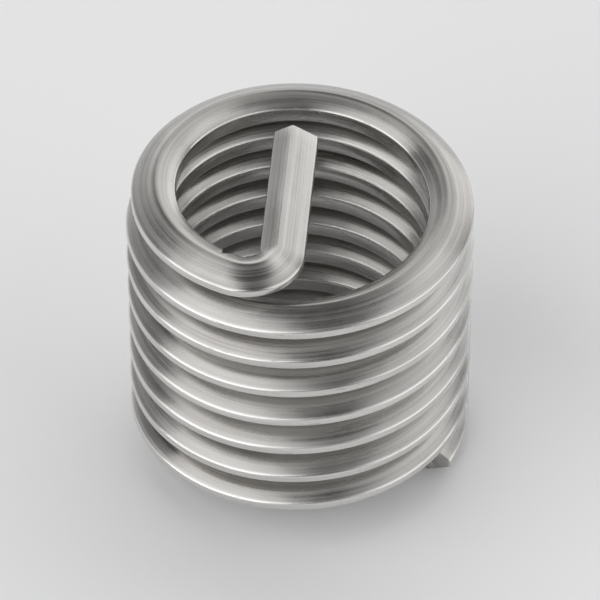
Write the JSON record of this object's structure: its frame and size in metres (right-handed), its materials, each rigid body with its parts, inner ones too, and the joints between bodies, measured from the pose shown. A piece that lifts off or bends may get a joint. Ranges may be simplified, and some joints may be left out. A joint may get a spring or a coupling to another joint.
{
  "type": "helical thread insert",
  "caption": "Free helical thread insert: a coil of diamond-section stainless wire, with its driving tang bent in across the bore.",
  "frame": {"origin": "centre of the bore, at the level of the plain end that it stands on", "axes": "+Z along the bore from the plain end to the tang end; the tang's root is towards -Y and its tip points to +Y"},
  "size_m": [0.01, 0.01, 0.0101],
  "materials": {
    "stainless_wire": "smooth rolled stainless steel wire, satin with bright crests"
  },
  "bodies": {
    "root": {"coil": "stainless_wire"}
  },
  "joints": []
}
